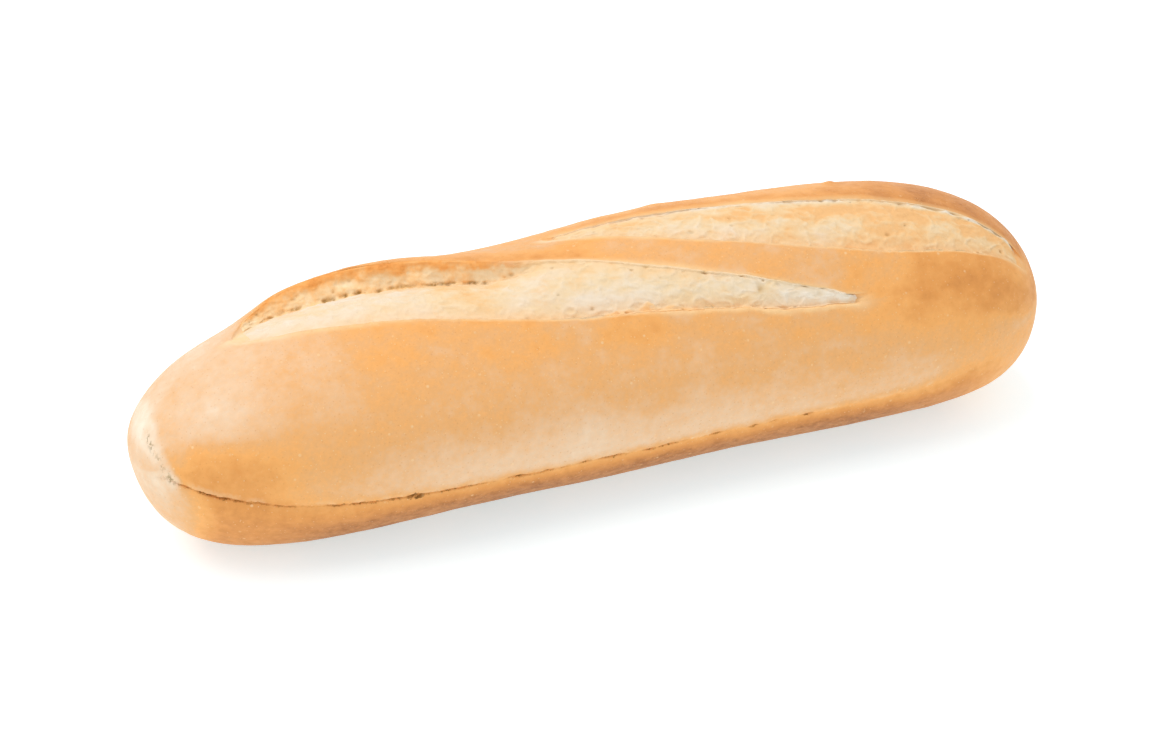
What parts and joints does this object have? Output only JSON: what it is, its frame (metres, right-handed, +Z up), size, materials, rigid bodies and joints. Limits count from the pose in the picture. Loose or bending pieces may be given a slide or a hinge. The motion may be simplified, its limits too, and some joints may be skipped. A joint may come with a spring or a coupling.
{
  "type": "half baguette",
  "caption": "Short crusty wheat loaf with blunt round ends, long slanting slashes that opened to pale crumb, and a baked crack along each side, for a table, basket or shop shelf.",
  "frame": {"origin": "bottom centre of the loaf's box, on the surface that it rests on", "axes": "+X along the loaf to its right end as the picture shows it, +Y away from the side that the slashes lean to, +Z up"},
  "size_m": [0.24, 0.074, 0.0599],
  "materials": {
    "crust": null
  },
  "bodies": {
    "root": {"half_baguette": "crust"}
  },
  "joints": []
}
